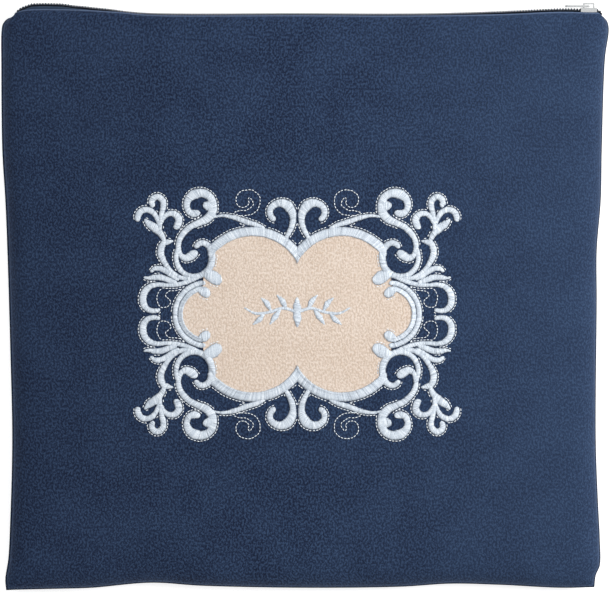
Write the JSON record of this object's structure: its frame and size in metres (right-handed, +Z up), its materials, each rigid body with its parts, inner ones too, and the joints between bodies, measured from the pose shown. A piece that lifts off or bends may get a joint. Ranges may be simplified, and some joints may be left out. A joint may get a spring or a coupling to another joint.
{
  "type": "tallit bag",
  "caption": "Flat square zipped bag for a prayer shawl, in navy faux suede with a cream patch framed in raised satin scrollwork.",
  "frame": {"origin": "middle of the bag's box, on the surface that the bag lies on", "axes": "+X across the bag, +Y towards the zipped top edge, +Z up out of the embroidered front"},
  "size_m": [0.3602, 0.3488, 0.0289],
  "materials": {
    "navy_suede": "matte napped faux suede with a fine pebbled grain",
    "cream_suede": "matte napped faux suede",
    "silver_thread": "lustrous satin stitch in silvery rayon thread",
    "navy_tape": "woven polyester tape",
    "navy_coil": "dyed nylon coil with a soft shine",
    "nickel": "nickel-plated zinc"
  },
  "bodies": {
    "bag": {"front_panel": "navy_suede", "back_panel": "navy_suede", "applique_panel": "cream_suede", "scroll_top_left": "silver_thread", "scroll_top_right": "silver_thread", "scroll_bottom_left": "silver_thread", "scroll_bottom_right": "silver_thread", "centre_sprig": "silver_thread", "zipper_tape_front": "navy_tape", "zipper_tape_back": "navy_tape", "zipper_coil_front": "navy_coil", "zipper_coil_back": "navy_coil", "zipper_slider": "nickel"},
    "pull": {"zipper_pull": "nickel"}
  },
  "joints": [
    {"name": "pull_hinge", "type": "hinge", "parent": "bag", "child": "pull", "pos_m": [0.16855, 0.1726, 0.009], "axis": [0, 0, 1], "range_deg": [-165, 0]}
  ]
}
